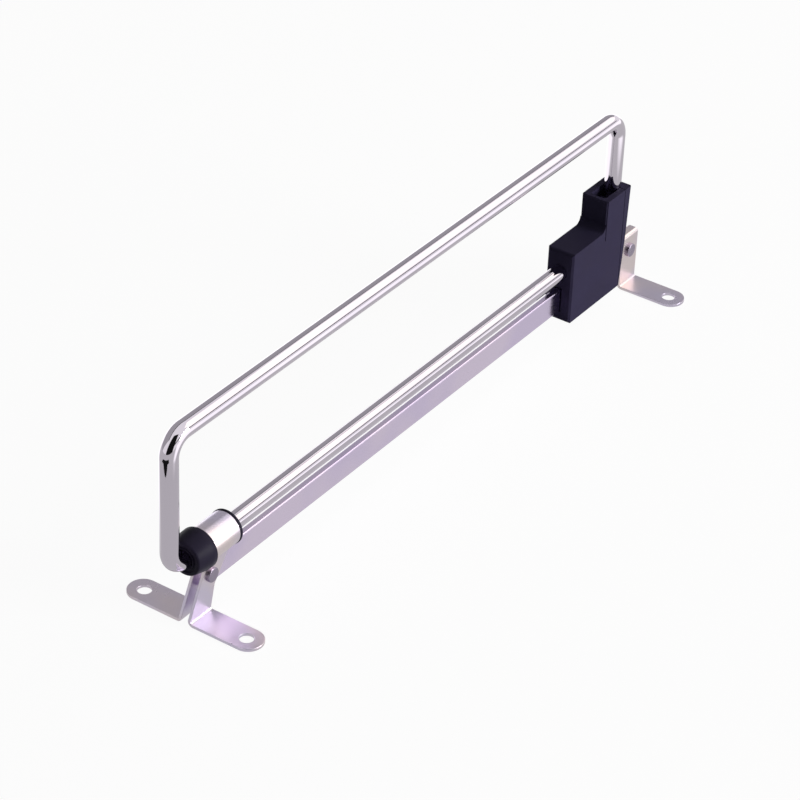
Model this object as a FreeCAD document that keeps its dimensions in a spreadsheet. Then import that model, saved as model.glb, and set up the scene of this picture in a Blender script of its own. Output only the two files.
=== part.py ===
import FreeCAD, Part
import math
import os
import Sketcher

# Pull-out clothes rail, standing on its screw ears as photographed.
# X runs across the rail, Y along it with the front at minus Y, Z up from the ears' underside.
# The origin is the centre of the four screw holes, on the underside of the ears. Millimetres.

# Driving dimensions: alias, value, what it is
SIZES = [
    ("hole_span_x", 46.0, "screw holes, centre to centre across the rail"),
    ("hole_span_y", 288.0, "screw holes, front bracket to rear bracket"),
    ("ear_hole_diameter", 5.5, "screw hole in each ear"),
    ("ear_tip", 29.6, "ear tip from the middle plane"),
    ("ear_width", 12.0, "width of an ear along the rail"),
    ("ear_corner", 5.9, "corner radius of an ear tip"),
    ("strap", 1.2, "bracket sheet thickness"),
    ("bend_inside", 0.9, "inside radius of the bend between leg and ear"),
    ("bar_thickness", 2.8, "flat guide bar, thickness"),
    ("bar_height", 10.6, "flat guide bar, height"),
    ("bar_drop", 7.4, "guide bar's top edge below the rod's axis"),
    ("bar_rounding", 0.7, "rounding along the guide bar's long edges"),
    ("bar_rear_overhang", 5.4, "bar rear end behind the rear hole row"),
    ("rod_height", 29.0, "axis of the sliding rod above the ears' underside"),
    ("rod_diameter", 7.0, "rod of the hanging loop"),
    ("loop_height", 55.0, "lower rod to upper rod, centre to centre"),
    ("rear_leg_inset", 14.0, "rear leg ahead of the rear hole row"),
    ("loop_front", 14.1, "front leg ahead of the front hole row"),
    ("loop_bend", 8.0, "bend radius of the loop at the rod's centre line"),
    ("collar_bore", 5.6, "inside radius of the front bracket's collar"),
    ("collar_length", 14.6, "collar along the rail"),
    ("collar_shift", 10.1, "collar middle behind the front hole row"),
    ("collar_neck", 1.4, "fillet where the legs run into the collar"),
    ("leg_foot", 2.4, "height at which the front legs start to lean"),
    ("leg_knee_shift", 8.0, "rear edge of the front legs at the bar's underside, behind the hole row"),
    ("rear_headroom", 1.2, "guide bar's top edge to the inside of the rear bracket's top"),
    ("rear_bracket_corner", 1.5, "outside radius along the rear bracket's top"),
    ("rivet_shank", 3.0, "rivet shank diameter"),
    ("rivet_head", 5.8, "rivet head diameter"),
    ("rivet_head_height", 1.2, "rivet head height"),
    ("front_rivet_shift", 6.0, "front rivet behind the front hole row"),
    ("flange_radius", 8.2, "front bush flange, radius"),
    ("flange_length", 9.2, "front bush flange along the rail"),
    ("flange_slope", 6.0, "sloped front part of the flange along the rail"),
    ("flange_edge", 1.2, "how much slimmer the flange is at its front face"),
    ("ring_radius", 7.0, "retaining ring, outer radius"),
    ("ring_length", 1.2, "retaining ring along the rail"),
    ("slider_width", 12.4, "slider block across the rail"),
    ("slider_length", 37.4, "slider front face ahead of the parting plane"),
    ("slider_drop", 22.2, "slider underside below the rod's axis"),
    ("shoulder_rise", 9.9, "top of the slider's lower part above the rod's axis"),
    ("neck_rise", 23.5, "top of the slider's neck above the rod's axis"),
    ("neck_depth", 13.4, "neck front face ahead of the parting plane"),
    ("neck_fillet", 3.2, "hollow between shoulder and neck"),
    ("crease_depth", 0.4, "crease down each side of the slider, behind the neck's front face"),
    ("crease_width", 0.6, "width of that crease"),
    ("crease_reach", 4.5, "lower end of the crease below the shoulder"),
    ("slider_edge", 0.6, "edge break of the neck's top and of the rear cover"),
    ("slider_nose", 0.8, "edge break of the slider's upright front corners"),
    ("slider_brow", 1.4, "rounding of the slider's top front edge"),
    ("slider_chin", 1.0, "rounding of the slider's bottom front edge"),
    ("recess_corner", 1.8, "corner radius of the recess"),
    ("cover_depth", 4.8, "rear cover thickness at its top"),
    ("cover_waist", 3.5, "rear cover thickness at the bend of its rear face"),
    ("cover_toe", 1.1, "rear cover thickness at its foot"),
    ("waist_drop", 1.0, "bend of the cover's rear face below the rod's axis"),
    ("recess_depth", 5.0, "open recess in the neck's top"),
    ("recess_length", 11.3, "recess ahead of the parting plane"),
    ("leg_seat_rise", 11.0, "lower end of the rear leg above the rod's axis"),
    ("rod_seat", 8.0, "rear end of the lower rod ahead of the parting plane"),
    ("rod_wall", 3.0, "slider wall behind the lower rod"),
    ("end_screw_diameter", 4.0, "screw into the lower rod's end"),
    ("end_screw_length", 9.0, "that screw's reach into the rod"),
    ("end_screw_head", 7.0, "its head diameter"),
    ("end_screw_head_height", 2.6, "its head height"),
    ("washer_diameter", 9.0, "washer under that head"),
    ("washer_thickness", 0.8, "washer thickness"),
    ("leg_pin_diameter", 2.4, "cross pin through the rear leg"),
    ("leg_pin_length", 10.4, "cross pin length"),
    ("leg_pin_height", 3.9, "cross pin above the leg's lower end"),
    ("cover_screw_diameter", 2.2, "cover screw thread diameter"),
    ("cover_screw_head", 3.8, "cover screw head diameter"),
    ("cover_screw_length", 9.0, "cover screw below its head"),
    ("cover_screw_head_height", 1.4, "cover screw head height"),
    ("cover_screw_span", 8.1, "cover screws, centre to centre across"),
    ("cover_screw_rise", 7.2, "cover screws above the rod's axis"),
    ("sliding_gap", 0.3, "gap between the slider and the guide bar, each side"),
    ("bush_gap", 0.08, "radial running gap of the rod in the bush"),
    ("fit_gap", 0.05, "gap between pieces that are fastened together"),
    ("overrun", 2.0, "how far a cut runs past what it cuts"),
    ("socket_share", 0.5, "drive recess of a screw, share of its head"),
]

doc = FreeCAD.newDocument("pull_out_clothes_rail")
sheet = doc.addObject("Spreadsheet::Sheet", "Sizes")
for row, (alias, value, note) in enumerate(SIZES, start=1):
    sheet.set(f"A{row}", note)
    sheet.set(f"B{row}", str(value))
    sheet.setAlias(f"B{row}", alias)
doc.recompute()

# Places worked out from the sizes, as expressions for the objects below
FRONT_ROW = "(-Sizes.hole_span_y / 2)"
REAR_ROW = "(Sizes.hole_span_y / 2)"
ROD_RADIUS = "(Sizes.rod_diameter / 2)"
BAR_HALF = "(Sizes.bar_thickness / 2)"
LEG_HALF = "(Sizes.bar_thickness / 2 + Sizes.strap)"
BAR_TOP = "(Sizes.rod_height - Sizes.bar_drop)"
BAR_LIFT = f"({BAR_TOP} - Sizes.bar_height)"
BAR_MIDDLE = f"({BAR_TOP} - Sizes.bar_height / 2)"
REAR_TOP = f"({BAR_TOP} + Sizes.rear_headroom + Sizes.strap)"
COLLAR_FRONT = f"({FRONT_ROW} + Sizes.collar_shift - Sizes.collar_length / 2)"
COLLAR_REAR = f"({FRONT_ROW} + Sizes.collar_shift + Sizes.collar_length / 2)"
COLLAR_OUTER = "(Sizes.collar_bore + Sizes.strap)"
UPPER_ROD = "(Sizes.rod_height + Sizes.loop_height)"
LOOP_FRONT = f"({FRONT_ROW} - Sizes.loop_front)"
LOOP_REAR = f"({REAR_ROW} - Sizes.rear_leg_inset)"
PARTING = LOOP_REAR
SLIDER_FRONT = f"({PARTING} - Sizes.slider_length)"
ROD_END = f"({PARTING} - Sizes.rod_seat)"
SLIDER_HALF = "(Sizes.slider_width / 2)"
SLIDER_FLOOR = "(Sizes.rod_height - Sizes.slider_drop)"
SLIDER_SHOULDER = "(Sizes.rod_height + Sizes.shoulder_rise)"
SLIDER_TOP = "(Sizes.rod_height + Sizes.neck_rise)"
WAIST = "(Sizes.rod_height - Sizes.waist_drop)"
LEG_SEAT = "(Sizes.rod_height + Sizes.leg_seat_rise)"
SCREW_LEVEL = "(Sizes.rod_height + Sizes.cover_screw_rise)"
ACROSS_ALL = "(4 * Sizes.ear_tip)"
MIDDLE = "0"


def amount(expression):
    """The number that an expression over the sheet gives."""
    return float(sheet.evalExpression(expression.replace("Sizes.", "")))


def new_body(label):
    body = doc.addObject("PartDesign::Body", label)
    body.Label = label
    return body


def new_sketch(body, role, name, offset="0", up="0"):
    """A sketch on one of the body's own origin planes, moved out by offset and along its own y by up."""
    plane = [item for item in body.Origin.OriginFeatures if getattr(item, "Role", "") == role][0]
    sketch = body.newObject("Sketcher::SketchObject", name)
    sketch.AttachmentSupport = [(plane, "")]
    sketch.MapMode = "FlatFace"
    sketch.setExpression("AttachmentOffset.Base.z", offset)
    sketch.setExpression("AttachmentOffset.Base.y", up)
    return sketch


def place(sketch, geometry, position, across, along):
    """Tie one point of a sketch to its two expressions, or to the sketch's axis where one is zero."""
    for kind, expression, axis in (("DistanceX", across, -2), ("DistanceY", along, -1)):
        if expression == MIDDLE:
            sketch.addConstraint(Sketcher.Constraint("PointOnObject", geometry, position, axis))
            continue
        number = amount(expression)
        index = sketch.addConstraint(Sketcher.Constraint(kind, -1, 1, geometry, position, number))
        sketch.setExpression(f"Constraints[{index}]", expression)


def outline(sketch, corners):
    """A closed run of straight lines through corners that are given as pairs of expressions."""
    spots = [FreeCAD.Vector(amount(across), amount(along), 0) for across, along in corners]
    count = len(spots)
    lines = []
    for number in range(count):
        segment = Part.LineSegment(spots[number], spots[(number + 1) % count])
        lines.append(sketch.addGeometry(segment, False))
    for number in range(count):
        following = lines[(number + 1) % count]
        sketch.addConstraint(Sketcher.Constraint("Coincident", lines[number], 2, following, 1))
    for line, (across, along) in zip(lines, corners):
        place(sketch, line, 1, across, along)


def box_outline(sketch, left, right, low, high):
    outline(sketch, [(left, low), (right, low), (right, high), (left, high)])


def ring_outline(sketch, across, along, radius):
    """A circle about a centre, all three given as expressions."""
    centre = FreeCAD.Vector(amount(across), amount(along), 0)
    circle = sketch.addGeometry(Part.Circle(centre, FreeCAD.Vector(0, 0, 1), amount(radius)), False)
    place(sketch, circle, 3, across, along)
    index = sketch.addConstraint(Sketcher.Constraint("Radius", circle, amount(radius)))
    sketch.setExpression(f"Constraints[{index}]", radius)


def pad(body, sketch, name, length, reverse=False, both_ways=False):
    feature = body.newObject("PartDesign::Pad", name)
    feature.Profile = sketch
    feature.setExpression("Length", length)
    feature.Reversed = reverse
    feature.SideType = "Symmetric" if both_ways else "One side"
    doc.recompute()
    return feature


def pocket(body, sketch, name, length, reverse=False, both_ways=False):
    """A cut, with a look at the volume because a cut that points away removes nothing."""
    before = body.Shape.Volume
    feature = body.newObject("PartDesign::Pocket", name)
    feature.Profile = sketch
    feature.setExpression("Length", length)
    feature.Reversed = reverse
    feature.SideType = "Symmetric" if both_ways else "One side"
    doc.recompute()
    if not body.Shape.Volume < before:
        raise RuntimeError(name + " removes nothing")
    return feature


def revolve(body, sketch, name):
    """A full turn of the sketch about its own horizontal axis."""
    feature = body.newObject("PartDesign::Revolution", name)
    feature.Profile = sketch
    feature.ReferenceAxis = (sketch, ["H_Axis"])
    feature.Angle = 360.0
    doc.recompute()
    return feature


def edges_where(shape, test, along):
    """Names of the edges whose points all pass a test, and that run along one axis if it is given."""
    names = []
    for number, edge in enumerate(shape.Edges, start=1):
        if edge.Degenerated:
            continue
        middle = edge.valueAt((edge.FirstParameter + edge.LastParameter) / 2)
        spots = [vertex.Point for vertex in edge.Vertexes] + [middle]
        if along and abs(abs(edge.tangentAt(edge.FirstParameter).dot(along)) - 1) > NEAR:
            continue
        if all(test(spot) for spot in spots):
            names.append(f"Edge{number}")
    return names


def fillet(body, name, radius, test, along=None):
    base = body.Tip
    names = edges_where(base.Shape, test, along)
    if not names:
        raise RuntimeError(name + " finds no edge")
    feature = body.newObject("PartDesign::Fillet", name)
    feature.Base = (base, names)
    feature.setExpression("Radius", radius)
    doc.recompute()
    if "Invalid" in feature.State:
        raise RuntimeError(name + " failed")
    return feature


def chamfer(body, name, size, test, along=None):
    base = body.Tip
    names = edges_where(base.Shape, test, along)
    if not names:
        raise RuntimeError(name + " finds no edge")
    feature = body.newObject("PartDesign::Chamfer", name)
    feature.Base = (base, names)
    feature.setExpression("Size", size)
    doc.recompute()
    if "Invalid" in feature.State:
        raise RuntimeError(name + " failed")
    return feature


def near(first, second):
    return abs(first - second) < NEAR


NEAR = amount("Sizes.fit_gap") / 10
LENGTHWISE = FreeCAD.Vector(0, 1, 0)
UPRIGHT = FreeCAD.Vector(0, 0, 1)
FAR = "Sizes.hole_span_y"
TALL = f"({UPPER_ROD} + Sizes.overrun)"


def finish_ears(body, row):
    """Round the ear tips and drill the screw holes."""
    tip = amount("Sizes.ear_tip")
    fillet(body, body.Label + "_tip_corners", "Sizes.ear_corner",
           lambda spot: near(abs(spot.x), tip), UPRIGHT)
    sketch = new_sketch(body, "XY_Plane", body.Label + "_hole_places", "-Sizes.overrun")
    for side in ("-", ""):
        ring_outline(sketch, f"{side}Sizes.hole_span_x / 2", row, "Sizes.ear_hole_diameter / 2")
    pocket(body, sketch, body.Label + "_screw_holes", "Sizes.strap + 2 * Sizes.overrun", reverse=True)


def bend_fillets(body):
    """Bend radii where each leg turns into its ear, inside and outside of the sheet."""
    strap = amount("Sizes.strap")
    outer = amount(LEG_HALF)
    inner = amount(BAR_HALF)
    fillet(body, body.Label + "_bend_inside", "Sizes.bend_inside",
           lambda spot: near(abs(spot.x), outer) and near(spot.z, strap))
    fillet(body, body.Label + "_bend_outside", "Sizes.bend_inside + Sizes.strap",
           lambda spot: near(abs(spot.x), inner) and near(spot.z, 0))


def rivet_hole(body, end, row, shift):
    """A hole for the rivet right across the piece, at its front or rear end."""
    sketch = new_sketch(body, "YZ_Plane", f"{body.Label}_{end}_rivet_place")
    ring_outline(sketch, f"{row} + {shift}", BAR_MIDDLE, "Sizes.rivet_shank / 2 + Sizes.fit_gap")
    pocket(body, sketch, f"{body.Label}_{end}_rivet_hole", ACROSS_ALL, both_ways=True)


def screw_circles(sketch, radius):
    """The circles of the two cover screws."""
    for side in ("-", ""):
        ring_outline(sketch, f"{side}Sizes.cover_screw_span / 2", SCREW_LEVEL, radius)


# Front bracket: one strap that wraps the bush, comes down as two legs and turns out into two ears
front_bracket = new_body("front_bracket")
front_start = f"(-{FRONT_ROW} + Sizes.ear_width / 2)"
section = new_sketch(front_bracket, "XZ_Plane", "collar_section", front_start)
ring_outline(section, MIDDLE, "Sizes.rod_height", COLLAR_OUTER)
strap_run = f"({COLLAR_REAR} - ({FRONT_ROW}) + Sizes.ear_width / 2)"
pad(front_bracket, section, "collar_round", strap_run, reverse=True)
section = new_sketch(front_bracket, "XZ_Plane", "leg_section", front_start)
box_outline(section, f"-{LEG_HALF}", LEG_HALF, MIDDLE, "Sizes.rod_height")
pad(front_bracket, section, "leg_pair", strap_run, reverse=True)
section = new_sketch(front_bracket, "XZ_Plane", "ear_section", front_start)
box_outline(section, "-Sizes.ear_tip", "Sizes.ear_tip", MIDDLE, "Sizes.strap")
pad(front_bracket, section, "ear_pair", strap_run, reverse=True)
section = new_sketch(front_bracket, "XZ_Plane", "bore_section", f"{front_start} + Sizes.overrun")
ring_outline(section, MIDDLE, "Sizes.rod_height", "Sizes.collar_bore")
pocket(front_bracket, section, "collar_bore_cut", f"{strap_run} + 2 * Sizes.overrun")
section = new_sketch(front_bracket, "XZ_Plane", "slot_section", f"{front_start} + Sizes.overrun")
box_outline(section, f"-{BAR_HALF}", BAR_HALF, "-Sizes.overrun", "Sizes.rod_height")
pocket(front_bracket, section, "leg_slot", f"{strap_run} + 2 * Sizes.overrun")
bend_fillets(front_bracket)
leg_out = amount(LEG_HALF)
neck_height = amount("Sizes.rod_height") - math.sqrt(amount(COLLAR_OUTER) ** 2 - leg_out ** 2)
fillet(front_bracket, "collar_neck_fillet", "Sizes.collar_neck",
       lambda spot: near(abs(spot.x), leg_out) and near(spot.z, neck_height))
# The side view of the strap: upright at the ears, leaning back and widening up to the collar
section = new_sketch(front_bracket, "YZ_Plane", "side_window")
box_outline(section, f"-{FAR}", MIDDLE, "-Sizes.overrun", TALL)
collar_start = "(Sizes.rod_height - Sizes.collar_bore)"
under_flange = "(Sizes.rod_height - Sizes.flange_radius - Sizes.sliding_gap)"
outline(section, [
    (f"{FRONT_ROW} - Sizes.ear_width / 2", "-Sizes.overrun / 2"),
    (f"{FRONT_ROW} + Sizes.ear_width / 2", "-Sizes.overrun / 2"),
    (f"{FRONT_ROW} + Sizes.ear_width / 2", "Sizes.leg_foot"),
    (f"{FRONT_ROW} + Sizes.leg_knee_shift", BAR_LIFT),
    (COLLAR_REAR, collar_start),
    (COLLAR_REAR, f"{TALL} - Sizes.overrun / 2"),
    (COLLAR_FRONT, f"{TALL} - Sizes.overrun / 2"),
    (COLLAR_FRONT, under_flange),
    (f"{FRONT_ROW} - Sizes.ear_width / 2", "Sizes.leg_foot"),
])
pocket(front_bracket, section, "side_trim", ACROSS_ALL, both_ways=True)
finish_ears(front_bracket, FRONT_ROW)
rivet_hole(front_bracket, "front", FRONT_ROW, "Sizes.front_rivet_shift")

# Rear bracket: the same sheet folded over the bar, with a flat top
rear_bracket = new_body("rear_bracket")
rear_start = f"(-{REAR_ROW} + Sizes.ear_width / 2)"
section = new_sketch(rear_bracket, "XZ_Plane", "rear_leg_section", rear_start)
box_outline(section, f"-{LEG_HALF}", LEG_HALF, MIDDLE, REAR_TOP)
pad(rear_bracket, section, "rear_leg_pair", "Sizes.ear_width", reverse=True)
section = new_sketch(rear_bracket, "XZ_Plane", "rear_ear_section", rear_start)
box_outline(section, "-Sizes.ear_tip", "Sizes.ear_tip", MIDDLE, "Sizes.strap")
pad(rear_bracket, section, "rear_ear_pair", "Sizes.ear_width", reverse=True)
section = new_sketch(rear_bracket, "XZ_Plane", "rear_slot_section", f"{rear_start} + Sizes.overrun")
box_outline(section, f"-{BAR_HALF}", BAR_HALF, "-Sizes.overrun", f"{REAR_TOP} - Sizes.strap")
pocket(rear_bracket, section, "rear_leg_slot", "Sizes.ear_width + 2 * Sizes.overrun")
bend_fillets(rear_bracket)
bracket_top = amount(REAR_TOP)
fillet(rear_bracket, "rear_top_fillet", "Sizes.rear_bracket_corner",
       lambda spot: near(abs(spot.x), leg_out) and near(spot.z, bracket_top))
finish_ears(rear_bracket, REAR_ROW)
rivet_hole(rear_bracket, "rear", REAR_ROW, MIDDLE)

# Guide bar: flat steel on edge between the legs of both brackets
guide_bar = new_body("guide_bar")
bar_front = f"({COLLAR_FRONT} + Sizes.sliding_gap)"
bar_run = f"({REAR_ROW} + Sizes.bar_rear_overhang - {bar_front})"
section = new_sketch(guide_bar, "XZ_Plane", "bar_section", f"-{bar_front}")
box_outline(section, f"-{BAR_HALF}", BAR_HALF, BAR_LIFT, BAR_TOP)
pad(guide_bar, section, "bar_length", bar_run, reverse=True)
bar_half = amount(BAR_HALF)
fillet(guide_bar, "bar_edges", "Sizes.bar_rounding", lambda spot: near(abs(spot.x), bar_half), LENGTHWISE)
rivet_hole(guide_bar, "front", FRONT_ROW, "Sizes.front_rivet_shift")
rivet_hole(guide_bar, "rear", REAR_ROW, MIDDLE)


def make_rivet(label, row, shift):
    """Solid rivet across the legs and the bar, with a flat head each side."""
    body = new_body(label)
    sketch = new_sketch(body, "XZ_Plane", label + "_profile", f"-({row} + {shift})", BAR_MIDDLE)
    head_out = f"({LEG_HALF} + Sizes.rivet_head_height)"
    outline(sketch, [
        (f"-{head_out}", MIDDLE), (head_out, MIDDLE),
        (head_out, "Sizes.rivet_head / 2"), (LEG_HALF, "Sizes.rivet_head / 2"),
        (LEG_HALF, "Sizes.rivet_shank / 2"), (f"-{LEG_HALF}", "Sizes.rivet_shank / 2"),
        (f"-{LEG_HALF}", "Sizes.rivet_head / 2"), (f"-{head_out}", "Sizes.rivet_head / 2"),
    ])
    revolve(body, sketch, label + "_turned")
    return body


front_rivet = make_rivet("front_rivet", FRONT_ROW, "Sizes.front_rivet_shift")
rear_rivet = make_rivet("rear_rivet", REAR_ROW, MIDDLE)

# Front bush: a flanged plastic bearing pushed into the collar from the front
front_bush = new_body("front_bush")
flange_front = f"({COLLAR_FRONT} - Sizes.flange_length)"
barrel_radius = "(Sizes.collar_bore - Sizes.fit_gap)"
bush_bore = f"({ROD_RADIUS} + Sizes.bush_gap)"
ring_rear = f"({COLLAR_REAR} + Sizes.fit_gap + Sizes.ring_length)"
section = new_sketch(front_bush, "YZ_Plane", "bush_profile", "0", "Sizes.rod_height")
outline(section, [
    (flange_front, bush_bore),
    (flange_front, "Sizes.flange_radius - Sizes.flange_edge"),
    (f"{flange_front} + Sizes.flange_slope", "Sizes.flange_radius"),
    (COLLAR_FRONT, "Sizes.flange_radius"),
    (COLLAR_FRONT, barrel_radius),
    (ring_rear, barrel_radius),
    (ring_rear, bush_bore),
])
revolve(front_bush, section, "bush_turned")

# Retaining ring: pressed on the bush's rear end behind the collar
bush_ring = new_body("bush_retaining_ring")
section = new_sketch(bush_ring, "YZ_Plane", "ring_profile", "0", "Sizes.rod_height")
ring_front = f"({COLLAR_REAR} + Sizes.fit_gap)"
box_outline(section, ring_front, ring_rear, "Sizes.collar_bore", "Sizes.ring_radius")
revolve(bush_ring, section, "ring_turned")

# Hanging loop: one bent rod, from the slider forward through the bush, up, back and down again
hanging_loop = new_body("hanging_loop")
path = new_sketch(hanging_loop, "YZ_Plane", "loop_path")
bend = "Sizes.loop_bend"
path_points = [
    (ROD_END, "Sizes.rod_height"),
    (f"{LOOP_FRONT} + {bend}", "Sizes.rod_height"),
    (LOOP_FRONT, f"Sizes.rod_height + {bend}"),
    (LOOP_FRONT, f"{UPPER_ROD} - {bend}"),
    (f"{LOOP_FRONT} + {bend}", UPPER_ROD),
    (f"{LOOP_REAR} - {bend}", UPPER_ROD),
    (LOOP_REAR, f"{UPPER_ROD} - {bend}"),
    (LOOP_REAR, LEG_SEAT),
]
spots = [FreeCAD.Vector(amount(across), amount(along), 0) for across, along in path_points]
path_lines = []
for number in range(0, len(spots), 2):
    path_lines.append(path.addGeometry(Part.LineSegment(spots[number], spots[number + 1]), False))
for number, line in enumerate(path_lines):
    for position in (1, 2):
        across, along = path_points[2 * number + position - 1]
        place(path, line, position, across, along)
radius_now = amount(bend)
# Each quarter bend turns about a centre one bend radius in from the corner, from its first angle on
bend_centres = [
    (f"{LOOP_FRONT} + {bend}", f"Sizes.rod_height + {bend}", math.pi),
    (f"{LOOP_FRONT} + {bend}", f"{UPPER_ROD} - {bend}", math.pi / 2),
    (f"{LOOP_REAR} - {bend}", f"{UPPER_ROD} - {bend}", 0),
]
for number, (across, along, first_angle) in enumerate(bend_centres):
    centre = FreeCAD.Vector(amount(across), amount(along), 0)
    circle = Part.Circle(centre, FreeCAD.Vector(0, 0, 1), radius_now)
    quarter = Part.ArcOfCircle(circle, first_angle, first_angle + math.pi / 2)
    arc = path.addGeometry(quarter, False)
    path.addConstraint(Sketcher.Constraint("Coincident", arc, 1, path_lines[number + 1], 1))
    path.addConstraint(Sketcher.Constraint("Coincident", arc, 2, path_lines[number], 2))
    index = path.addConstraint(Sketcher.Constraint("Radius", arc, radius_now))
    path.setExpression(f"Constraints[{index}]", bend)
section = new_sketch(hanging_loop, "XZ_Plane", "rod_section", f"-{ROD_END}")
ring_outline(section, MIDDLE, "Sizes.rod_height", ROD_RADIUS)
sweep = hanging_loop.newObject("PartDesign::AdditivePipe", "bent_rod")
sweep.Profile = section
doc.recompute()
sweep.Spine = (path, [f"Edge{number + 1}" for number in range(len(path.Shape.Edges))])
doc.recompute()
section = new_sketch(hanging_loop, "XZ_Plane", "rod_thread_place", f"-{ROD_END} - Sizes.overrun")
ring_outline(section, MIDDLE, "Sizes.rod_height", "Sizes.end_screw_diameter / 2")
pocket(hanging_loop, section, "rod_thread_hole", "Sizes.end_screw_length + 2 * Sizes.overrun", reverse=True)
pin_height = f"({LEG_SEAT} + Sizes.leg_pin_height)"
section = new_sketch(hanging_loop, "YZ_Plane", "leg_pin_place")
ring_outline(section, PARTING, pin_height, "Sizes.leg_pin_diameter / 2 + Sizes.fit_gap")
pocket(hanging_loop, section, "leg_pin_hole", "Sizes.slider_width", both_ways=True)

# Slider body: moulded block with a raised neck that takes the loop's rear leg
slot_half = f"({BAR_HALF} + Sizes.sliding_gap)"
slot_low = f"({BAR_LIFT} - Sizes.sliding_gap)"
slot_high = f"({BAR_TOP} + Sizes.sliding_gap)"
leg_hole = f"({ROD_RADIUS} + Sizes.fit_gap)"


def slider_cuts(body, tag):
    """Slot for the bar, half hole for the leg and cross pin, cut alike into body and cover."""
    sketch = new_sketch(body, "XZ_Plane", tag + "_slot_section", f"-{FAR}")
    box_outline(sketch, f"-{slot_half}", slot_half, slot_low, slot_high)
    pocket(body, sketch, tag + "_bar_slot", f"2 * {FAR}", reverse=True)
    sketch = new_sketch(body, "XY_Plane", tag + "_leg_place", f"{LEG_SEAT} - Sizes.fit_gap")
    ring_outline(sketch, MIDDLE, PARTING, leg_hole)
    pocket(body, sketch, tag + "_leg_hole", SLIDER_TOP, reverse=True)
    sketch = new_sketch(body, "YZ_Plane", tag + "_pin_place")
    ring_outline(sketch, PARTING, pin_height, "Sizes.leg_pin_diameter / 2 + Sizes.fit_gap")
    pocket(body, sketch, tag + "_pin_hole", "Sizes.leg_pin_length + 2 * Sizes.fit_gap", both_ways=True)


slider_body = new_body("slider_body")
section = new_sketch(slider_body, "YZ_Plane", "slider_side")
neck_front = f"({PARTING} - Sizes.neck_depth)"
outline(section, [
    (SLIDER_FRONT, SLIDER_FLOOR), (PARTING, SLIDER_FLOOR),
    (PARTING, SLIDER_TOP), (neck_front, SLIDER_TOP),
    (neck_front, SLIDER_SHOULDER), (SLIDER_FRONT, SLIDER_SHOULDER),
])
pad(slider_body, section, "slider_width_pad", "Sizes.slider_width", both_ways=True)
front_now = amount(SLIDER_FRONT)
neck_now = amount(neck_front)
parting_now = amount(PARTING)
half_now = amount(SLIDER_HALF)
floor_now = amount(SLIDER_FLOOR)
shoulder_now = amount(SLIDER_SHOULDER)
top_now = amount(SLIDER_TOP)
fillet(slider_body, "neck_hollow", "Sizes.neck_fillet",
       lambda spot: near(spot.y, neck_now) and near(spot.z, shoulder_now))
fillet(slider_body, "brow", "Sizes.slider_brow",
       lambda spot: near(spot.y, front_now) and near(spot.z, shoulder_now))
fillet(slider_body, "chin", "Sizes.slider_chin",
       lambda spot: near(spot.y, front_now) and near(spot.z, floor_now))
# The upright front corners are cut straight down, so the top's long side edges stay crisp
section = new_sketch(slider_body, "XY_Plane", "nose_plan", f"{SLIDER_FLOOR} - Sizes.overrun")
for side in ("-", ""):
    outline(section, [
        (f"{side}({SLIDER_HALF} - Sizes.slider_nose - Sizes.overrun)", f"{SLIDER_FRONT} - Sizes.overrun"),
        (f"{side}({SLIDER_HALF} + Sizes.overrun)", f"{SLIDER_FRONT} - Sizes.overrun"),
        (f"{side}({SLIDER_HALF} + Sizes.overrun)", f"{SLIDER_FRONT} + Sizes.slider_nose + Sizes.overrun"),
    ])
pocket(slider_body, section, "nose_corners", TALL, reverse=True)
chamfer(slider_body, "neck_edges", "Sizes.slider_edge",
        lambda spot: near(spot.z, top_now) and near(spot.y, neck_now))
for side in ("-", ""):
    section = new_sketch(slider_body, "XY_Plane", "crease_plan", f"{SLIDER_SHOULDER} - Sizes.crease_reach")
    box_outline(section, f"{side}({SLIDER_HALF} - Sizes.crease_depth)",
                f"{side}({SLIDER_HALF} + Sizes.overrun)", neck_front, f"{neck_front} + Sizes.crease_width")
    pocket(slider_body, section, "crease", TALL, reverse=True)
slider_cuts(slider_body, "body")
section = new_sketch(slider_body, "XZ_Plane", "rod_bore_section", f"-{ROD_END} - Sizes.fit_gap")
ring_outline(section, MIDDLE, "Sizes.rod_height", leg_hole)
pocket(slider_body, section, "rod_bore", "Sizes.slider_length", reverse=True)
section = new_sketch(slider_body, "XZ_Plane", "end_screw_section", f"-{PARTING}")
ring_outline(section, MIDDLE, "Sizes.rod_height", "Sizes.end_screw_diameter / 2 + Sizes.sliding_gap")
pocket(slider_body, section, "end_screw_hole", "Sizes.rod_seat + Sizes.overrun", reverse=True)
counterbore = "(Sizes.rod_seat - Sizes.rod_wall)"
section = new_sketch(slider_body, "XZ_Plane", "counterbore_section", f"-{PARTING}")
ring_outline(section, MIDDLE, "Sizes.rod_height", "Sizes.washer_diameter / 2 + Sizes.sliding_gap")
pocket(slider_body, section, "end_screw_counterbore", counterbore, reverse=True)
section = new_sketch(slider_body, "XY_Plane", "recess_outline", f"{SLIDER_TOP} - Sizes.recess_depth")
recess_tip = f"({PARTING} - Sizes.recess_length)"
box_outline(section, f"-{leg_hole}", leg_hole, recess_tip, PARTING)
pocket(slider_body, section, "neck_recess", "Sizes.recess_depth + Sizes.overrun", reverse=True)
recess_now = amount(recess_tip)
leg_hole_now = amount(leg_hole)
fillet(slider_body, "recess_corners", "Sizes.recess_corner",
       lambda spot: near(spot.y, recess_now) and near(abs(spot.x), leg_hole_now), UPRIGHT)
section = new_sketch(slider_body, "XZ_Plane", "cover_screw_places", f"-{PARTING}")
screw_circles(section, "Sizes.cover_screw_diameter / 2 + Sizes.fit_gap")
screw_seat = "(Sizes.cover_waist - Sizes.cover_screw_head_height - Sizes.fit_gap)"
pilot_depth = f"Sizes.cover_screw_length - {screw_seat} + Sizes.sliding_gap"
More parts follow.
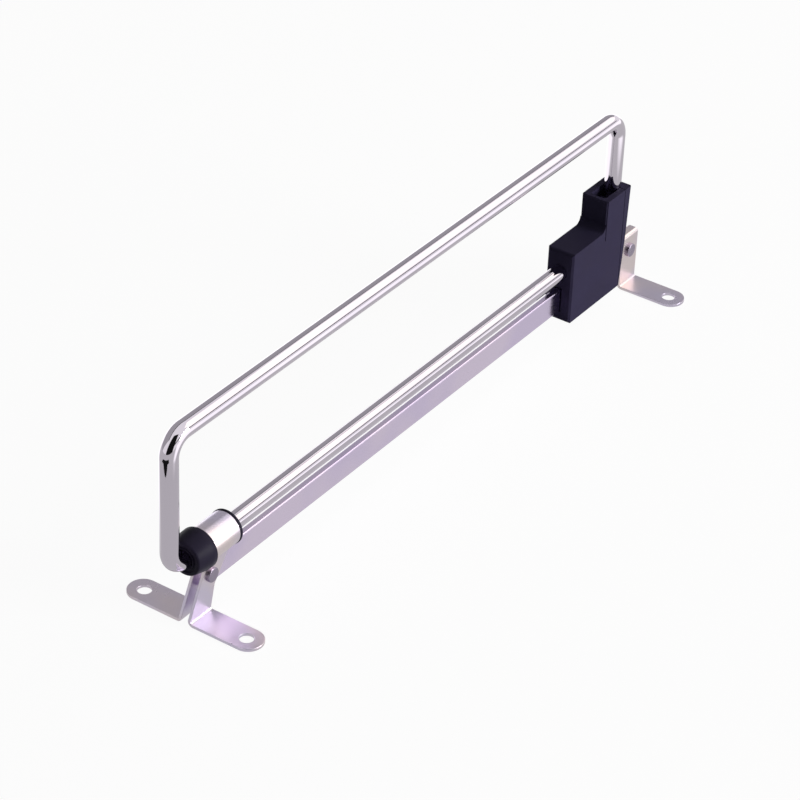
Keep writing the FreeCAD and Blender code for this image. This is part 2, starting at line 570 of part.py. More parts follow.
pocket(slider_body, section, "cover_screw_pilots", pilot_depth, reverse=True)

# Rear cover: closes the slider behind the parting plane and clamps the rear leg
slider_cover = new_body("slider_rear_cover")
cover_rear = f"({PARTING} + Sizes.cover_depth)"
cover_start = f"({PARTING} + Sizes.fit_gap)"
section = new_sketch(slider_cover, "YZ_Plane", "cover_side")
outline(section, [
    (cover_start, SLIDER_FLOOR), (f"{PARTING} + Sizes.cover_toe", SLIDER_FLOOR),
    (f"{PARTING} + Sizes.cover_waist", WAIST), (cover_rear, SLIDER_TOP),
    (cover_start, SLIDER_TOP),
])
pad(slider_cover, section, "cover_width_pad", "Sizes.slider_width", both_ways=True)
start_now = amount(cover_start)
chamfer(slider_cover, "cover_edges", "Sizes.slider_edge",
        lambda spot: not near(spot.y, start_now) and near(abs(spot.x), half_now)
        and spot.z > floor_now + NEAR)
slider_cuts(slider_cover, "cover")
section = new_sketch(slider_cover, "XZ_Plane", "cover_hole_places", f"-{cover_rear} - Sizes.overrun")
screw_circles(section, "Sizes.cover_screw_diameter / 2 + Sizes.sliding_gap")
pocket(slider_cover, section, "cover_screw_holes", "Sizes.cover_depth + 2 * Sizes.overrun", reverse=True)
section = new_sketch(slider_cover, "XZ_Plane", "cover_sink_places", f"-{cover_rear} - Sizes.overrun")
screw_circles(section, "Sizes.cover_screw_head / 2 + Sizes.fit_gap")
sink_depth = f"(Sizes.cover_depth - {screw_seat})"
pocket(slider_cover, section, "cover_screw_sinks", f"{sink_depth} + Sizes.overrun", reverse=True)


def socket(body, tag, rear, across, along, head, depth):
    """Six-sided drive recess in a screw head that faces the rear."""
    sketch = new_sketch(body, "XZ_Plane", tag + "_socket", f"-({rear}) - Sizes.overrun")
    corners = []
    for number in range(6):
        turn = number * math.pi / 3
        corners.append((f"{across} + {head} * Sizes.socket_share / 2 * {math.cos(turn):.6f}",
                        f"{along} + {head} * Sizes.socket_share / 2 * {math.sin(turn):.6f}"))
    outline(sketch, corners)
    pocket(body, sketch, tag + "_socket_cut", f"{depth} + Sizes.overrun", reverse=True)


# Screw and washer that hold the lower rod's end against the slider's inner wall
end_screw = new_body("rod_end_screw")
washer_front = f"({PARTING} - {counterbore} + Sizes.fit_gap)"
washer_rear = f"({washer_front} + Sizes.washer_thickness)"
head_front = f"({washer_rear} + Sizes.fit_gap)"
head_rear = f"({head_front} + Sizes.end_screw_head_height)"
screw_tip = f"({ROD_END} - Sizes.end_screw_length)"
section = new_sketch(end_screw, "YZ_Plane", "end_screw_profile", "0", "Sizes.rod_height")
shank_radius = "(Sizes.end_screw_diameter / 2 - Sizes.fit_gap)"
outline(section, [
    (screw_tip, MIDDLE), (head_rear, MIDDLE),
    (head_rear, "Sizes.end_screw_head / 2"), (head_front, "Sizes.end_screw_head / 2"),
    (head_front, shank_radius), (screw_tip, shank_radius),
])
revolve(end_screw, section, "end_screw_turned")
socket(end_screw, "end_screw", head_rear, "0", "Sizes.rod_height", "Sizes.end_screw_head",
       "Sizes.end_screw_head_height * Sizes.socket_share")
end_washer = new_body("rod_end_washer")
section = new_sketch(end_washer, "YZ_Plane", "washer_profile", "0", "Sizes.rod_height")
box_outline(section, washer_front, washer_rear, "Sizes.end_screw_diameter / 2 + Sizes.fit_gap",
            "Sizes.washer_diameter / 2")
revolve(end_washer, section, "washer_turned")

# Cross pin through the rear leg, trapped between slider body and cover
leg_pin = new_body("leg_cross_pin")
section = new_sketch(leg_pin, "YZ_Plane", "pin_profile")
ring_outline(section, PARTING, pin_height, "Sizes.leg_pin_diameter / 2")
pad(leg_pin, section, "pin_length", "Sizes.leg_pin_length", both_ways=True)

# Two small screws that hold the rear cover, in one node because they are alike
cover_screws = new_body("cover_screws")
cover_screws.AllowCompound = True
screw_head_front = f"({PARTING} + {screw_seat} + Sizes.fit_gap)"
section = new_sketch(cover_screws, "XZ_Plane", "cover_head_places", f"-{screw_head_front}")
screw_circles(section, "Sizes.cover_screw_head / 2")
pad(cover_screws, section, "cover_heads", "Sizes.cover_screw_head_height - Sizes.fit_gap", reverse=True)
section = new_sketch(cover_screws, "XZ_Plane", "cover_shank_places", f"-{screw_head_front}")
screw_circles(section, "Sizes.cover_screw_diameter / 2")
pad(cover_screws, section, "cover_shanks", "Sizes.cover_screw_length")


def write_parts():
    """Check every object, then write one file for each sub-part."""
    for item in doc.Objects:
        if "Invalid" in item.State or "Error" in item.State:
            raise RuntimeError(item.Label + " failed: " + str(item.State))
    os.makedirs("parts", exist_ok=True)
    for item in doc.Objects:
        if item.TypeId != "PartDesign::Body":
            continue
        if item.Shape.isNull() or not item.Shape.isValid():
            raise RuntimeError(item.Label + " has no sound shape")
        item.Shape.exportStep(f"parts/{item.Label}.step")
        print(item.Label, len(item.Shape.Solids), round(item.Shape.Volume, 1), item.Shape.BoundBox)


write_parts()
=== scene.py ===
import math
import bmesh
import bpy
from mathutils import Matrix, Vector


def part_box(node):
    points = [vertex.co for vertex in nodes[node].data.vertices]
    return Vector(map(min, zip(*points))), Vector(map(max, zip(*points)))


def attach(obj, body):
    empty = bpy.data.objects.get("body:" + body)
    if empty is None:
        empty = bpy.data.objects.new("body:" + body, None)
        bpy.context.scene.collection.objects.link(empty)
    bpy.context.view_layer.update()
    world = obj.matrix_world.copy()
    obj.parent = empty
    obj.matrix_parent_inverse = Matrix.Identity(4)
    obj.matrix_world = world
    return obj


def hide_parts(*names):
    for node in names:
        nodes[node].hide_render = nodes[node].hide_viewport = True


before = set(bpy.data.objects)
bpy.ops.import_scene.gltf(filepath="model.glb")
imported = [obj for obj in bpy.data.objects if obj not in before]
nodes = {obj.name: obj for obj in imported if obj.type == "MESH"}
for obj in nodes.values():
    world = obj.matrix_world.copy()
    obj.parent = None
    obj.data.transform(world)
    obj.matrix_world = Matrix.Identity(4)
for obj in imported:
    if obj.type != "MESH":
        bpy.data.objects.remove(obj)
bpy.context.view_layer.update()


# Material building blocks

def feed(tree, socket, value):
    # A number is set on the socket, and another socket is linked to it
    if isinstance(value, (int, float)):
        socket.default_value = value
    else:
        tree.links.new(value, socket)


def addMath(tree, operation, first, second):
    node = tree.nodes.new("ShaderNodeMath")
    node.operation = operation
    feed(tree, node.inputs[0], first)
    feed(tree, node.inputs[1], second)
    return node.outputs[0]


def addRange(tree, value, fromSpan, toSpan):
    node = tree.nodes.new("ShaderNodeMapRange")
    for label, limit in zip(("From Min", "From Max", "To Min", "To Max"), (*fromSpan, *toSpan)):
        feed(tree, node.inputs[label], limit)
    tree.links.new(value, node.inputs["Value"])
    return node.outputs["Result"]


def addNoise(tree, scale, detail, stretch=(1, 1, 1)):
    # Noise on the object's own coordinates
    place = tree.nodes.new("ShaderNodeTexCoord")
    mapping = tree.nodes.new("ShaderNodeMapping")
    mapping.inputs["Scale"].default_value = stretch
    tree.links.new(place.outputs["Object"], mapping.inputs["Vector"])
    noise = tree.nodes.new("ShaderNodeTexNoise")
    noise.inputs["Detail"].default_value = detail
    feed(tree, noise.inputs["Scale"], scale)
    tree.links.new(mapping.outputs["Vector"], noise.inputs["Vector"])
    return noise.outputs["Fac"]


def objectAxes(tree):
    place = tree.nodes.new("ShaderNodeTexCoord")
    axes = tree.nodes.new("ShaderNodeSeparateXYZ")
    tree.links.new(place.outputs["Object"], axes.inputs[0])
    return axes.outputs


def seenRays(tree, rays):
    # 1 where a surface is seen or mirrored, 0 where it only lights the part
    total = addMath(tree, "ADD", rays.outputs["Is Camera Ray"], rays.outputs["Is Glossy Ray"])
    return addMath(tree, "ADD", total, rays.outputs["Is Transmission Ray"])


def newGroup(name, labels):
    group = bpy.data.node_groups.new(name, "ShaderNodeTree")
    for direction, names in (("INPUT", labels), ("OUTPUT", ("roughness", "height", "tone"))):
        for label in names:
            group.interface.new_socket(name=label, in_out=direction, socket_type="NodeSocketFloat")
    return group, group.nodes.new("NodeGroupInput"), group.nodes.new("NodeGroupOutput")


polishNoise = {
    "hazeScale": 55, "hazeDetail": 3, "hazeShare": 0.7,
    "lineStretch": (900, 60, 900), "lineScale": 1, "lineDetail": 2, "lineShare": 0.3,
    "mixedSpan": (0.35, 0.65), "patchScale": 34, "patchDetail": 1, "patchSpan": (0.42, 0.62),
}


def makePolishGroup(look):
    # Wiping haze and fine polishing lines as roughness and height, broad patches as tone
    group, entry, leave = newGroup("polishedMetal", ("smooth", "hazy"))
    haze = addNoise(group, look["hazeScale"], look["hazeDetail"])
    lines = addNoise(group, look["lineScale"], look["lineDetail"], look["lineStretch"])
    patches = addNoise(group, look["patchScale"], look["patchDetail"])
    mixed = addMath(group, "ADD", addMath(group, "MULTIPLY", haze, look["hazeShare"]),
                    addMath(group, "MULTIPLY", lines, look["lineShare"]))
    roughness = addRange(group, mixed, look["mixedSpan"], (entry.outputs["smooth"], entry.outputs["hazy"]))
    group.links.new(roughness, leave.inputs["roughness"])
    group.links.new(lines, leave.inputs["height"])
    group.links.new(addRange(group, patches, look["patchSpan"], (0, 1)), leave.inputs["tone"])
    return group


grainNoise = {
    "grainDetail": 2, "patchScale": 90, "patchDetail": 3, "roughSpan": (0.35, 0.65), "toneSpan": (0.3, 0.7),
}


def makeGrainGroup(look):
    # Fine moulded grain as height, softer patches as roughness and tone
    group, entry, leave = newGroup("mouldedGrain", ("smooth", "dull", "grain"))
    grain = addNoise(group, entry.outputs["grain"], look["grainDetail"])
    patches = addNoise(group, look["patchScale"], look["patchDetail"])
    roughness = addRange(group, patches, look["roughSpan"], (entry.outputs["smooth"], entry.outputs["dull"]))
    group.links.new(roughness, leave.inputs["roughness"])
    group.links.new(grain, leave.inputs["height"])
    group.links.new(addRange(group, patches, look["toneSpan"], (0, 1)), leave.inputs["tone"])
    return group


# In metres
bumpDepth = 0.0001


def finishMaterial(name, group, look, metallic):
    material = bpy.data.materials.new(name)
    material.use_nodes = True
    tree = material.node_tree
    shader = tree.nodes["Principled BSDF"]
    shader.inputs["Metallic"].default_value = metallic
    if "shine" in look:
        shader.inputs["Specular IOR Level"].default_value = look["shine"]
    surface = tree.nodes.new("ShaderNodeGroup")
    surface.node_tree = group
    for socket in surface.inputs:
        socket.default_value = look[socket.name]
    bump = tree.nodes.new("ShaderNodeBump")
    bump.inputs["Strength"].default_value = look["bump"]
    bump.inputs["Distance"].default_value = bumpDepth
    shades = tree.nodes.new("ShaderNodeMix")
    shades.data_type = "RGBA"
    shades.inputs["A"].default_value = look["color"]
    shades.inputs["B"].default_value = look["tint"]
    tree.links.new(surface.outputs["tone"], shades.inputs["Factor"])
    tree.links.new(shades.outputs["Result"], shader.inputs["Base Color"])
    tree.links.new(surface.outputs["roughness"], shader.inputs["Roughness"])
    tree.links.new(surface.outputs["height"], bump.inputs["Height"])
    tree.links.new(bump.outputs["Normal"], shader.inputs["Normal"])
    return material


metalFinishes = {
    "loopChrome": {"color": (0.64, 0.59, 0.665, 1), "tint": (0.68, 0.63, 0.70, 1),
                   "smooth": 0.02, "hazy": 0.05, "bump": 0.008},
    "barPlate": {"color": (0.76, 0.655, 0.87, 1), "tint": (0.82, 0.71, 0.88, 1),
                 "smooth": 0.08, "hazy": 0.18, "bump": 0.06},
    "bracketPlate": {"color": (0.70, 0.64, 0.78, 1), "tint": (0.79, 0.69, 0.695, 1),
                     "smooth": 0.27, "hazy": 0.31, "bump": 0.004},
    "rivetSteel": {"color": (0.30, 0.26, 0.34, 1), "tint": (0.38, 0.33, 0.42, 1),
                   "smooth": 0.24, "hazy": 0.4, "bump": 0.1},
    "fastenerZinc": {"color": (0.68, 0.67, 0.70, 1), "tint": (0.74, 0.72, 0.68, 1),
                     "smooth": 0.22, "hazy": 0.38, "bump": 0.1},
}
plasticFinishes = {
    "bushBlack": {"color": (0.024, 0.020, 0.040, 1), "tint": (0.030, 0.025, 0.047, 1),
                  "smooth": 0.32, "dull": 0.46, "grain": 2600, "bump": 0.05, "shine": 0.06},
    "sliderBlack": {"color": (0.037, 0.031, 0.067, 1), "tint": (0.045, 0.039, 0.080, 1),
                    "smooth": 0.42, "dull": 0.6, "grain": 1900, "bump": 0.12, "shine": 0.025},
}
materials = {}
polishGroup = makePolishGroup(polishNoise)
grainGroup = makeGrainGroup(grainNoise)
for name, look in metalFinishes.items():
    materials[name] = finishMaterial(name, polishGroup, look, 1)
for name, look in plasticFinishes.items():
    materials[name] = finishMaterial(name, grainGroup, look, 0)
print("materials made:", len(materials))


# Pieces, each with its sizes in millimetres

# In metres, and in radians
mergeDistance = 0.000002
smoothAngle = 0.6


def addPiece(name, mesh, material, body):
    piece = bpy.data.objects.new(name, mesh)
    bpy.context.scene.collection.objects.link(piece)
    mesh.materials.clear()
    mesh.materials.append(materials[material])
    mesh.shade_smooth()
    mesh.set_sharp_from_angle(angle=smoothAngle)
    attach(piece, body)
    return piece


def closeMesh(bm, name):
    bmesh.ops.remove_doubles(bm, verts=bm.verts, dist=mergeDistance)
    bmesh.ops.recalc_face_normals(bm, faces=bm.faces)
    mesh = bpy.data.meshes.new(name)
    bm.to_mesh(mesh)
    bm.free()
    return mesh


def millimetres(value):
    return value / 1000


def inMetres(size):
    return {label: millimetres(value) for label, value in size.items()}


def cornerArc(centre, reach, start, end, steps):
    # Points of (along, radius) on an arc round a centre, from one angle in degrees to another
    points = []
    for number in range(steps + 1):
        angle = math.radians(start + (end - start) * number / steps)
        points.append((centre[0] + reach * math.cos(angle), centre[1] + reach * math.sin(angle)))
    return points


def turnProfile(bm, profile, centre, axis, steps, closed):
    # A full turn of (along, radius) points about an axis through a centre
    ring = []
    for along, radius in profile:
        ring.append(bm.verts.new(Vector(centre) + Vector(axis) * along + Vector((0, 0, radius))))
    edges = [bm.edges.new(pair) for pair in zip(ring, ring[1:])]
    if closed:
        edges.append(bm.edges.new((ring[-1], ring[0])))
    bmesh.ops.spin(bm, geom=ring + edges, cent=centre, axis=axis, dvec=(0, 0, 0), angle=math.tau,
                   steps=steps, use_merge=True, use_normal_flip=False, use_duplicate=False)


loopRod = {
    "radius": 3.49, "lowerAxis": 29, "upperAxis": 84, "frontLeg": -158.1, "rearLeg": 130.0,
    "bend": 8, "lowerEnd": 122, "rearLegFoot": 40, "aroundSteps": 64, "bendSteps": 28,
}


def makeLoopRod(size):
    # One circle drawn along the lower run, up the front leg, back along the upper run and down the rear leg
    named = inMetres(size)
    lower, upper, bend = named["lowerAxis"], named["upperAxis"], named["bend"]
    front, rear = named["frontLeg"], named["rearLeg"]
    bm = bmesh.new()
    start = Matrix.Translation((0, named["lowerEnd"], lower)) @ Matrix.Rotation(math.pi / 2, 4, "X")
    bmesh.ops.create_circle(bm, cap_ends=True, segments=size["aroundSteps"], radius=named["radius"],
                            matrix=start)

    def run(edges, step):
        # Draws the open end straight on by a step
        grown = bmesh.ops.extrude_edge_only(bm, edges=edges)["geom"]
        vertices = [item for item in grown if isinstance(item, bmesh.types.BMVert)]
        bmesh.ops.translate(bm, verts=vertices, vec=step)
        return [item for item in grown if isinstance(item, bmesh.types.BMEdge)
                and all(vertex in grown for vertex in item.verts)]

    def turn(edges, centre):
        # Bends the open end a quarter turn about a centre
        vertices = list(dict.fromkeys(vertex for edge in edges for vertex in edge.verts))
        made = bmesh.ops.spin(bm, geom=vertices + edges, cent=centre, axis=(1, 0, 0), dvec=(0, 0, 0),
                              angle=-math.pi / 2, steps=size["bendSteps"], use_merge=False,
                              use_normal_flip=False, use_duplicate=False)
        return [item for item in made["geom_last"] if isinstance(item, bmesh.types.BMEdge)]

    end = run(list(bm.edges), (0, front + bend - named["lowerEnd"], 0))
    end = turn(end, (0, front + bend, lower + bend))
    end = run(end, (0, 0, upper - lower - 2 * bend))
    end = turn(end, (0, front + bend, upper - bend))
    end = run(end, (0, rear - front - 2 * bend, 0))
    end = turn(end, (0, rear - bend, upper - bend))
    end = run(end, (0, 0, named["rearLegFoot"] - upper + bend))
    bmesh.ops.edgeloop_fill(bm, edges=end)
    return closeMesh(bm, "loopRod")


loopPiece = addPiece("loop_rod", makeLoopRod(loopRod), "loopChrome", "pull_out")
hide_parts("hanging_loop")
print("loop rod made")

softening = {"weld": 0.005, "flatAngle": 0.6, "frontReach": 0.01, "sharpAngle": 40, "segments": 2}


def weldedCopy(node, look):
    # The frame's own solid with merged points and softened edges; a set-back front face shows a parting line
    bm = bmesh.new()
    bm.from_mesh(nodes[node].data)
    named = inMetres(softening)
    bmesh.ops.remove_doubles(bm, verts=bm.verts, dist=named["weld"])
    bmesh.ops.dissolve_limit(bm, angle_limit=math.radians(softening["flatAngle"]), verts=bm.verts,
                             edges=bm.edges, use_dissolve_boundaries=False, delimit=set())
    front = min(vertex.co.y for vertex in bm.verts)
    for vertex in bm.verts:
        if vertex.co.y < front + named["frontReach"]:
            vertex.co.y += millimetres(look.get("setBack", 0))
    weights = bm.edges.layers.float.new("bevel_weight_edge")
    for edge in bm.edges:
        if edge.is_manifold and edge.calc_face_angle_signed() > math.radians(softening["sharpAngle"]):
            edge[weights] = 1
    mesh = bpy.data.meshes.new(node + "_shape")
    bm.to_mesh(mesh)
    bm.free()
    piece = addPiece(node + "_dressed", mesh, look["material"], look["body"])
    bevel = piece.modifiers.new("softEdges", "BEVEL")
    bevel.width = millimetres(look["edge"])
    bevel.segments = softening["segments"]
    bevel.limit_method = "WEIGHT"
    bevel.use_clamp_overlap = True
    flats = piece.modifiers.new("flatFaces", "WEIGHTED_NORMAL")
    flats.keep_sharp = True
    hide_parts(node)


dressedNodes = {
    "front_bracket": {"edge": 0.18, "material": "bracketPlate", "body": "rail", "slot": "bracket_plated"},
    "rear_bracket": {"edge": 0.18, "material": "bracketPlate", "body": "rail", "slot": "bracket_plated"},
    "guide_bar": {"edge": 0.1, "material": "barPlate", "body": "rail", "slot": "bar_plated"},
    "slider_body": {"edge": 0.3, "material": "sliderBlack", "body": "pull_out", "slot": "slider_plastic"},
    "slider_rear_cover": {"edge": 0.3, "setBack": 0.25, "material": "sliderBlack", "body": "pull_out",
                          "slot": "slider_plastic"},
}
for node, look in dressedNodes.items():
    weldedCopy(node, look)
print("frame solids dressed")

rivet = {
    "shank": 1.5, "headRadius": 2.9, "headHeight": 1.2, "edge": 0.35, "dimpleRadius": 1.1, "dimple": 0.2,
    "aroundSteps": 48, "edgeSteps": 5,
}


def makeRivet(name, node, size):
    # Two like heads on a shank, each with a rounded rim and a shallow dimple
    low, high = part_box(node)
    centre = (low + high) / 2
    named = inMetres(size)
    outer, head, edge = high.x, named["headRadius"], named["edge"]
    inner = outer - named["headHeight"]
    half = [(inner, named["shank"]), (inner, head)]
    half += cornerArc((outer - edge, head - edge), edge, 90, 0, size["edgeSteps"])
    half += [(outer, named["dimpleRadius"]), (outer - named["dimple"], 0)]
    profile = [(-along, radius) for along, radius in reversed(half)] + half
    bm = bmesh.new()
    turnProfile(bm, profile, (0, centre.y, centre.z), (1, 0, 0), size["aroundSteps"], False)
    piece = addPiece(name, closeMesh(bm, name), "rivetSteel", "rail")
    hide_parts(node)


makeRivet("front_rivet_turned", "front_rivet", rivet)
makeRivet("rear_rivet_turned", "rear_rivet", rivet)

bush = {
    "bore": 3.56, "boreBreak": 0.4, "barrel": 5.55, "flange": 8.2, "flangeLength": 9.2, "rearEdge": 0.35,
    "taperLength": 6, "taperDrop": 0.04375, "noseRadius": 7.0, "noseEdge": 0.9, "noseEndAngle": 101,
    "dishInner": 4.3, "dishOuter": 5.5, "dishDepth": 0.5, "noseSteps": 6, "edgeSteps": 4, "aroundSteps": 96,
}


def makeBush(size):
    # From the bore's front edge over the dished, rounded nose and the tapered flange to the barrel
    low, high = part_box("front_bush")
    front, rear, axisHeight = low.y, high.y, (low.z + high.z) / 2
    named = inMetres(size)
    shoulder = front + named["flangeLength"]
    flange, edge, noseEdge = named["flange"], named["rearEdge"], named["noseEdge"]
    depth = named["dishDepth"]
    profile = [
        (front + named["boreBreak"], named["bore"]), (front, named["bore"] + named["boreBreak"]),
        (front, named["dishInner"]), (front + depth, named["dishInner"] + depth / 2),
        (front + depth, named["dishOuter"] - depth / 2), (front, named["dishOuter"]),
    ]
    profile += cornerArc((front + noseEdge, named["noseRadius"] - noseEdge), noseEdge, 180,
                         size["noseEndAngle"], size["noseSteps"])
    profile += [(front + named["taperLength"], flange - named["taperDrop"])]
    profile += cornerArc((shoulder - edge, flange - edge), edge, 90, 0, size["edgeSteps"])
    profile += [(shoulder, named["barrel"]), (rear, named["barrel"]), (rear, named["bore"])]
    bm = bmesh.new()
    turnProfile(bm, profile, (0, 0, axisHeight), (0, 1, 0), size["aroundSteps"], True)
    piece = addPiece("bush_turned", closeMesh(bm, "bushTurned"), "bushBlack", "rail")
    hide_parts("front_bush")


makeBush(bush)

retainingRing = {"inner": 5.6, "outer": 7.0, "edge": 0.3, "edgeSteps": 4, "aroundSteps": 80}


def makeRetainingRing(size):
    low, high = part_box("bush_retaining_ring")
    named = inMetres(size)
    edge, steps = named["edge"], size["edgeSteps"]
    profile = [(low.y, named["inner"])]
    profile += cornerArc((low.y + edge, named["outer"] - edge), edge, 180, 90, steps)
    profile += cornerArc((high.y - edge, named["outer"] - edge), edge, 90, 0, steps)
    profile += [(high.y, named["inner"])]
    bm = bmesh.new()
    turnProfile(bm, profile, (0, 0, (low.z + high.z) / 2), (0, 1, 0), size["aroundSteps"], True)
    piece = addPiece("ring_turned", closeMesh(bm, "ringTurned"), "bushBlack", "rail")
    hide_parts("bush_retaining_ring")


makeRetainingRing(retainingRing)
print("turned pieces made")

coverScrew = {
    "headRadius": 1.9, "headHeight": 1.3, "edge": 0.3, "rimRadius": 1.25, "armReach": 0.95, "armHalf": 0.24,
    "recess": 0.6, "recessShare": 0.75, "shank": 1.08, "root": 0.85, "pitch": 0.8, "tip": 1.0,
    "edgeSteps": 4, "aroundSteps": 36,
}


def crossOutline(reach, half):
    # Twelve corners of a plus sign, anticlockwise
    corners = []
    for number in range(4):
        turn = Matrix.Rotation(number * math.pi / 2, 2)
        corners += [turn @ Vector(corner) for corner in ((reach, -half), (reach, half), (half, half))]
    return corners


def addCoverScrew(bm, centre, rear, front, size):
    # A turned head and threaded shank, then a cross recess sunk into the head with tapering walls
    named = inMetres(size)
    under, edge = rear - named["headHeight"], named["edge"]
    profile = [(rear, named["rimRadius"])]
    profile += cornerArc((rear - edge, named["headRadius"] - edge), edge, 0, 90, size["edgeSteps"])
    profile += [(under, named["headRadius"]), (under, named["shank"])]
    place = under - named["pitch"]
    while place > front + named["tip"]:
        profile += [(place + named["pitch"] / 2, named["root"]), (place, named["shank"])]
        place -= named["pitch"]
    profile += [(front + named["tip"], named["root"]), (front, 0)]
    turnProfile(bm, profile, centre, (0, 1, 0), size["aroundSteps"], False)
    bmesh.ops.remove_doubles(bm, verts=bm.verts, dist=mergeDistance)
    rim = [item for item in bm.edges if item.is_boundary]
    loop = []
    for corner in crossOutline(named["armReach"], named["armHalf"]):
        loop.append(bm.verts.new((centre[0] + corner.x, rear, centre[2] + corner.y)))
    walls = [bm.edges.new((loop[number - 1], loop[number])) for number in range(len(loop))]
    bmesh.ops.triangle_fill(bm, edges=rim + walls, use_beauty=True, normal=(0, 1, 0))
    grown = bmesh.ops.extrude_edge_only(bm, edges=walls)["geom"]
    sunk = [item for item in grown if isinstance(item, bmesh.types.BMVert)]
    bmesh.ops.translate(bm, verts=sunk, vec=(0, -named["recess"], 0))
    shrink = Matrix.Diagonal((size["recessShare"], 1, size["recessShare"], 1))
    bmesh.ops.transform(bm, matrix=shrink, space=Matrix.Translation(-Vector(centre)), verts=sunk)
    bottom = [item for item in grown if isinstance(item, bmesh.types.BMEdge)
              and all(vertex in sunk for vertex in item.verts)]
    bmesh.ops.triangle_fill(bm, edges=bottom, use_beauty=True, normal=(0, 1, 0))


def makeCoverScrews(size):
    low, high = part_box("cover_screws")
    height = (low.z + high.z) / 2
    reach = high.x - millimetres(size["headRadius"])
    bm = bmesh.new()
    for side in (-1, 1):
        addCoverScrew(bm, (side * reach, 0, height), high.y, low.y, size)
    mesh = closeMesh(bm, "coverScrews")
    piece = addPiece("cover_screws_cut", mesh, "fastenerZinc", "pull_out")
    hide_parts("cover_screws")


makeCoverScrews(coverScrew)
print("cover screws made")

for node in ("rod_end_screw", "rod_end_washer", "leg_cross_pin"):
    for slot in nodes[node].material_slots:
        slot.material = materials["fastenerZinc"]


# Floor, reflection cards, air, lamps and camera, with places in metres

def addSheet(name, corners, material):
    bm = bmesh.new()
    bm.faces.new([bm.verts.new(corner) for corner in corners])
    mesh = bpy.data.meshes.new(name)
    bm.to_mesh(mesh)
    bm.free()
    mesh.materials.append(material)
    sheet = bpy.data.objects.new(name, mesh)
    bpy.context.scene.collection.objects.link(sheet)
    return sheet


def bareMaterial(name):
    material = bpy.data.materials.new(name)
    material.use_nodes = True
    material.node_tree.nodes.clear()
    return material, material.node_tree


# The mirrored tones are a painted shade under and in front of the part and a painted highlight beside it
floorLook = {
    "reach": 4, "color": (0.6, 0.6, 0.61, 1), "share": 0.86, "seen": 1.1, "mirrored": (0.70, 1.7),
    "middle": 0.03, "sideFade": (0.07, 0.11), "frontFade": (-0.18, -0.13),
}


def floorMaterial(name, look):
    # Takes the shadow as a diffuse face, and is lifted towards plain white where it is seen or mirrored
    material, tree = bareMaterial(name)
    rays = tree.nodes.new("ShaderNodeLightPath")
    axes = objectAxes(tree)
    # Mirrored, it glows dim under the part and in front of it, and bright beside it: a painted shade and a
    # painted highlight in the metal's reflections
    outside = addMath(tree, "ABSOLUTE", addMath(tree, "SUBTRACT", axes["X"], look["middle"]), 0)
    beside = addMath(tree, "MULTIPLY", addRange(tree, outside, look["sideFade"], (0, 1)),
                     addRange(tree, axes["Y"], look["frontFade"], (0, 1)))
    mirrored = addRange(tree, beside, (0, 1), look["mirrored"])
    white = tree.nodes.new("ShaderNodeEmission")
    strength = addRange(tree, rays.outputs["Is Camera Ray"], (0, 1), (mirrored, look["seen"]))
    tree.links.new(strength, white.inputs["Strength"])
    diffuse = tree.nodes.new("ShaderNodeBsdfDiffuse")
    diffuse.inputs["Color"].default_value = look["color"]
    mixed = tree.nodes.new("ShaderNodeMixShader")
    tree.links.new(addMath(tree, "MULTIPLY", seenRays(tree, rays), look["share"]), mixed.inputs["Fac"])
    tree.links.new(diffuse.outputs[0], mixed.inputs[1])
    tree.links.new(white.outputs[0], mixed.inputs[2])
    # From below it can't be seen
    sides = tree.nodes.new("ShaderNodeNewGeometry")
    hidden = tree.nodes.new("ShaderNodeBsdfTransparent")
    oneSided = tree.nodes.new("ShaderNodeMixShader")
    tree.links.new(sides.outputs["Backfacing"], oneSided.inputs["Fac"])
    tree.links.new(mixed.outputs[0], oneSided.inputs[1])
    tree.links.new(hidden.outputs[0], oneSided.inputs[2])
    output = tree.nodes.new("ShaderNodeOutputMaterial")
    tree.links.new(oneSided.outputs[0], output.inputs["Surface"])
    return material


reach = floorLook["reach"]
floorCorners = [(-reach, -reach, 0), (reach, -reach, 0), (reach, reach, 0), (-reach, reach, 0)]
addSheet("floor", floorCorners, floorMaterial("floorWhite", floorLook))

# Sheets seen only in the metal's reflections, lighting nothing and casting no shadow: painted reflections,
# near-black in front of the part and grey to its left and right
cards = {
    "leftCard": {"corners": [(-1.6, -1.5, 0.0), (-1.6, 4, 0.0), (-0.523, 4, 1.5), (-0.523, -1.5, 1.5)],
                 "tone": (0.44, 0.1), "fade": (1.28, 1.4)},
    "frontShade": {"corners": [(-0.11, -2.26, 0.03), (1.85, -1.14, 0.03), (1.27, -0.33, 1.6),
                               (0.3, -0.98, 1.88)],
                   "tone": 0.01},
    "footShade": {"corners": [(-0.09, -0.262, 0.002), (0.09, -0.262, 0.002), (0.14, -0.36, 0.002),
                              (-0.09, -0.36, 0.002)],
                  "tone": 0.01},
    "rightStrip": {"corners": [(1.9, -2, 0.6), (1.9, 4, 0.6), (1.9, 4, 0.9), (1.9, -2, 0.9)], "tone": 0.1},
}
cardColor = (0.97, 0.96, 0.99, 1)


def cardMaterial(name, card):
    # Glows at one tone, or at two with a fade between two heights
    material, tree = bareMaterial(name)
    glow = tree.nodes.new("ShaderNodeEmission")
    glow.inputs["Color"].default_value = cardColor
    tone = card["tone"]
    if "fade" in card:
        tone = addRange(tree, objectAxes(tree)["Z"], card["fade"], tone)
    feed(tree, glow.inputs["Strength"], tone)
    output = tree.nodes.new("ShaderNodeOutputMaterial")
    tree.links.new(glow.outputs[0], output.inputs["Surface"])
    return material


for name, card in cards.items():
    sheet = addSheet(name, card["corners"], cardMaterial(name + "Tone", card))
    sheet.visible_camera = False
    sheet.visible_diffuse = False
    sheet.visible_shadow = False

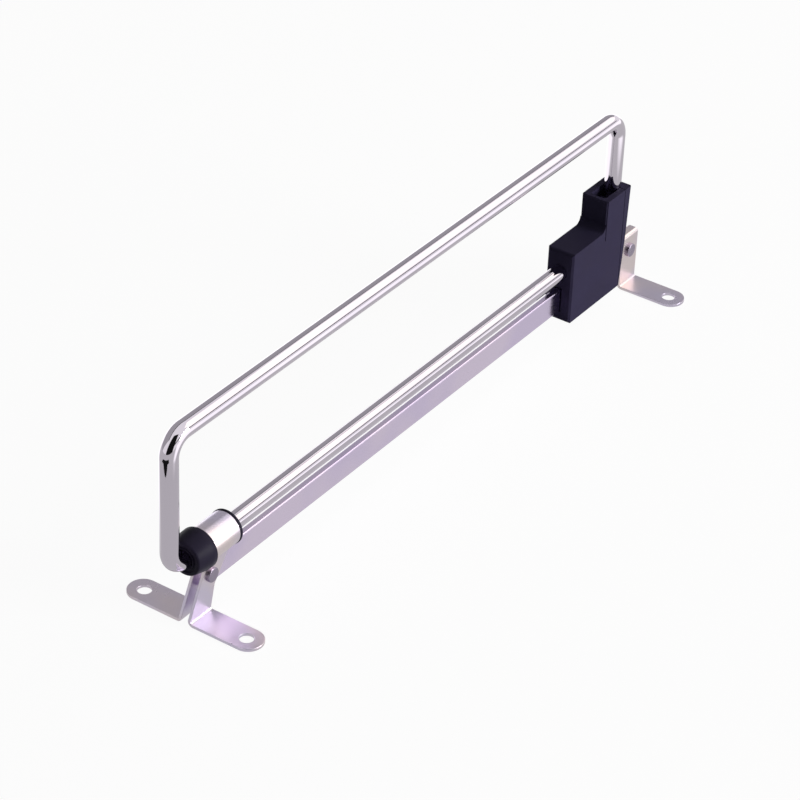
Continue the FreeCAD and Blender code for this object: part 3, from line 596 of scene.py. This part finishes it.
airGlow = {"color": (1, 1, 1, 1), "lighting": 0.08, "seen": 1}
world = bpy.data.worlds.new("studioAir")
bpy.context.scene.world = world
world.use_nodes = True
worldTree = world.node_tree
background = worldTree.nodes["Background"]
background.inputs["Color"].default_value = airGlow["color"]
seen = seenRays(worldTree, worldTree.nodes.new("ShaderNodeLightPath"))
glowing = addRange(worldTree, seen, (0, 1), (airGlow["lighting"], airGlow["seen"]))
worldTree.links.new(glowing, background.inputs["Strength"])


def aimedFrom(place, direction):
    return Matrix.Translation(place) @ direction.to_track_quat("-Z", "Y").to_matrix().to_4x4()


lamps = {
    "keyLamp": {"place": (2.15, 0.75, 0.6), "aim": (0, 0, 0.03), "size": (1.2, 0.9), "power": 42,
                "color": (1, 1, 1)},
    "rearSoftbox": {"place": (0.62, 1.3, 1.22), "aim": (0, 0, 0.03), "size": (1.7, 1.1), "power": 4.2,
                    "color": (1, 0.93, 0.74)},
}
for name, lamp in lamps.items():
    light = bpy.data.lights.new(name, "AREA")
    light.shape = "RECTANGLE"
    light.size, light.size_y = lamp["size"]
    light.energy = lamp["power"]
    light.color = lamp["color"]
    holder = bpy.data.objects.new(name, light)
    bpy.context.scene.collection.objects.link(holder)
    holder.matrix_world = aimedFrom(lamp["place"], Vector(lamp["aim"]) - Vector(lamp["place"]))

viewpoint = {
    "place": (0.54221, -0.83069, 0.68094), "azimuth": 33.74, "elevation": 33.85, "roll": 2.38,
    "lens": 139.9, "sensor": 36, "nearest": 0.01,
}
azimuth, elevation = math.radians(viewpoint["azimuth"]), math.radians(viewpoint["elevation"])
looking = Vector((-math.sin(azimuth) * math.cos(elevation), math.cos(azimuth) * math.cos(elevation),
                  -math.sin(elevation)))
camera = bpy.data.objects.new("camera", bpy.data.cameras.new("camera"))
bpy.context.scene.collection.objects.link(camera)
camera.data.lens = viewpoint["lens"]
camera.data.sensor_width = viewpoint["sensor"]
camera.data.clip_start = viewpoint["nearest"]
roll = Matrix.Rotation(math.radians(viewpoint["roll"]), 4, "Z")
camera.matrix_world = aimedFrom(viewpoint["place"], looking) @ roll
bpy.context.scene.camera = camera
bpy.context.scene.view_settings.view_transform = "Standard"
print("stage set")
